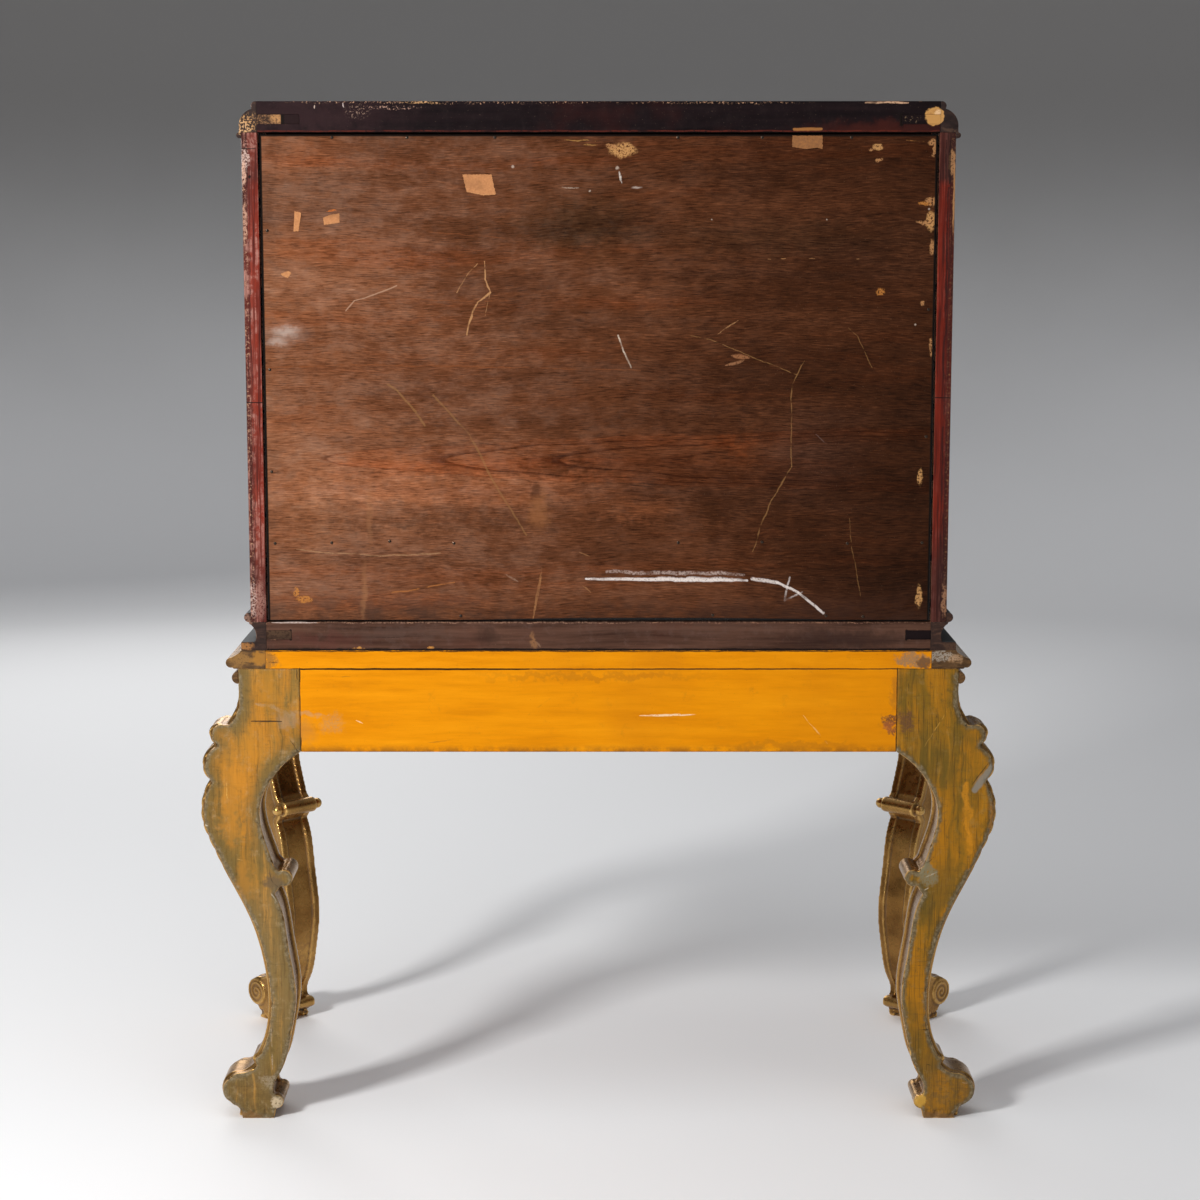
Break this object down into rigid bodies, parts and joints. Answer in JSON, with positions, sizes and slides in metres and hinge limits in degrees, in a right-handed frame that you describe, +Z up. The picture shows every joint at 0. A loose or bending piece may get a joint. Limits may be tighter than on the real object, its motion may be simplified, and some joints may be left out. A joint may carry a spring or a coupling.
{
  "type": "cocktail cabinet",
  "caption": "Lacquered cocktail cabinet with paired doors over drawers, a plain panelled back, and a gilt stand on scrolled cabriole legs.",
  "frame": {"origin": "on the floor, midway across the width and midway between the flat back and the front knees", "axes": "+Z up, -Y towards the front with the doors, +X to the right as seen from the front"},
  "size_m": [1.1968, 0.5664, 1.479],
  "materials": {
    "gilt_wood": "bronze-gold gilding, rubbed",
    "worn_gilt": "gilt with a worn ochre back",
    "ochre_paint": "ochre paint, satin",
    "raw_wood": "bare softwood",
    "black_lacquer": "black lacquer, gloss",
    "side_lacquer": "black and red lacquer",
    "dark_rail": "dark stain, dull",
    "brown_veneer": "oiled veneer, satin",
    "red_lacquer": "red lacquer, gloss",
    "drawer_wood": "bare hardwood, waxed",
    "brass": "brass, lightly tarnished",
    "lock_iron": "iron, bright worn"
  },
  "bodies": {
    "cabinet": {"apron_bead_front": "gilt_wood", "apron_bead_left": "gilt_wood", "apron_bead_right": "gilt_wood", "back_panel": "brown_veneer", "base_back_rail": "dark_rail", "base_board": "red_lacquer", "base_moulding_front": "black_lacquer", "base_moulding_left": "black_lacquer", "base_moulding_right": "black_lacquer", "case_side_left": "side_lacquer", "case_side_right": "side_lacquer", "corner_keys": "raw_wood", "cornice_front": "black_lacquer", "cornice_left": "black_lacquer", "cornice_right": "black_lacquer", "drawer_deck": "red_lacquer", "drawer_divider": "black_lacquer", "front_apron": "gilt_wood", "front_leg_left": "gilt_wood", "front_leg_right": "gilt_wood", "front_rail": "black_lacquer", "hinge_frame_leaves_left": "brass", "hinge_frame_leaves_right": "brass", "hinge_pins_left": "brass", "hinge_pins_right": "brass", "rear_apron": "ochre_paint", "rear_leg_left": "worn_gilt", "rear_leg_right": "worn_gilt", "shelf": "red_lacquer", "side_apron_left": "gilt_wood", "side_apron_right": "gilt_wood", "stand_corner_blocks": "raw_wood", "stand_moulding_front": "gilt_wood", "stand_moulding_left": "gilt_wood", "stand_moulding_right": "gilt_wood", "stand_rear_strip": "ochre_paint", "top_back_rail": "dark_rail", "top_board": "black_lacquer"},
    "door_left": {"door_left": "black_lacquer", "hinge_door_leaves_left": "brass", "lock_keeper": "brass", "door_bolt_guides": "brass"},
    "door_right": {"door_right": "black_lacquer", "hinge_door_leaves_right": "brass", "lock_case": "lock_iron", "escutcheon": "brass"},
    "drawer_left": {"drawer_front_left": "black_lacquer", "drawer_sides_left": "drawer_wood", "drawer_back_left": "drawer_wood", "drawer_bottom_left": "drawer_wood", "drawer_pull_left": "brass"},
    "drawer_right": {"drawer_front_right": "black_lacquer", "drawer_sides_right": "drawer_wood", "drawer_back_right": "drawer_wood", "drawer_bottom_right": "drawer_wood", "drawer_pull_right": "brass"},
    "key": {"key": "lock_iron"},
    "lock_bolt": {"lock_bolt": "lock_iron"},
    "door_bolt_upper": {"door_bolt_upper": "brass"},
    "door_bolt_lower": {"door_bolt_lower": "brass"}
  },
  "joints": [
    {"name": "door_left_hinge", "type": "hinge", "parent": "cabinet", "child": "door_left", "pos_m": [-0.46525, -0.19077, 1.1525], "axis": [0, 0, -1], "range_deg": [0, 170]},
    {"name": "door_right_hinge", "type": "hinge", "parent": "cabinet", "child": "door_right", "pos_m": [0.46525, -0.19077, 1.1525], "axis": [0, 0, 1], "range_deg": [0, 170]},
    {"name": "drawer_left_slide", "type": "slide", "parent": "cabinet", "child": "drawer_left", "axis": [0, -1, 0], "range_m": [0, 0.32]},
    {"name": "drawer_right_slide", "type": "slide", "parent": "cabinet", "child": "drawer_right", "axis": [0, -1, 0], "range_m": [0, 0.32]},
    {"name": "key_turn", "type": "hinge", "parent": "door_right", "child": "key", "pos_m": [0.035, -0.18577, 1.1285], "axis": [0, 1, 0], "range_deg": [0, 90]},
    {"name": "lock_bolt_slide", "type": "slide", "parent": "door_right", "child": "lock_bolt", "axis": [-1, 0, 0], "range_m": [0, 0.01272]},
    {"name": "door_bolt_upper_slide", "type": "slide", "parent": "door_left", "child": "door_bolt_upper", "axis": [0, 0, 1], "range_m": [0, 0.01]},
    {"name": "door_bolt_lower_slide", "type": "slide", "parent": "door_left", "child": "door_bolt_lower", "axis": [0, 0, -1], "range_m": [0, 0.009]}
  ],
  "couplings": [
    {"joint": "key_turn", "follows": "lock_bolt_slide", "rad_per_m": 123.46}
  ]
}
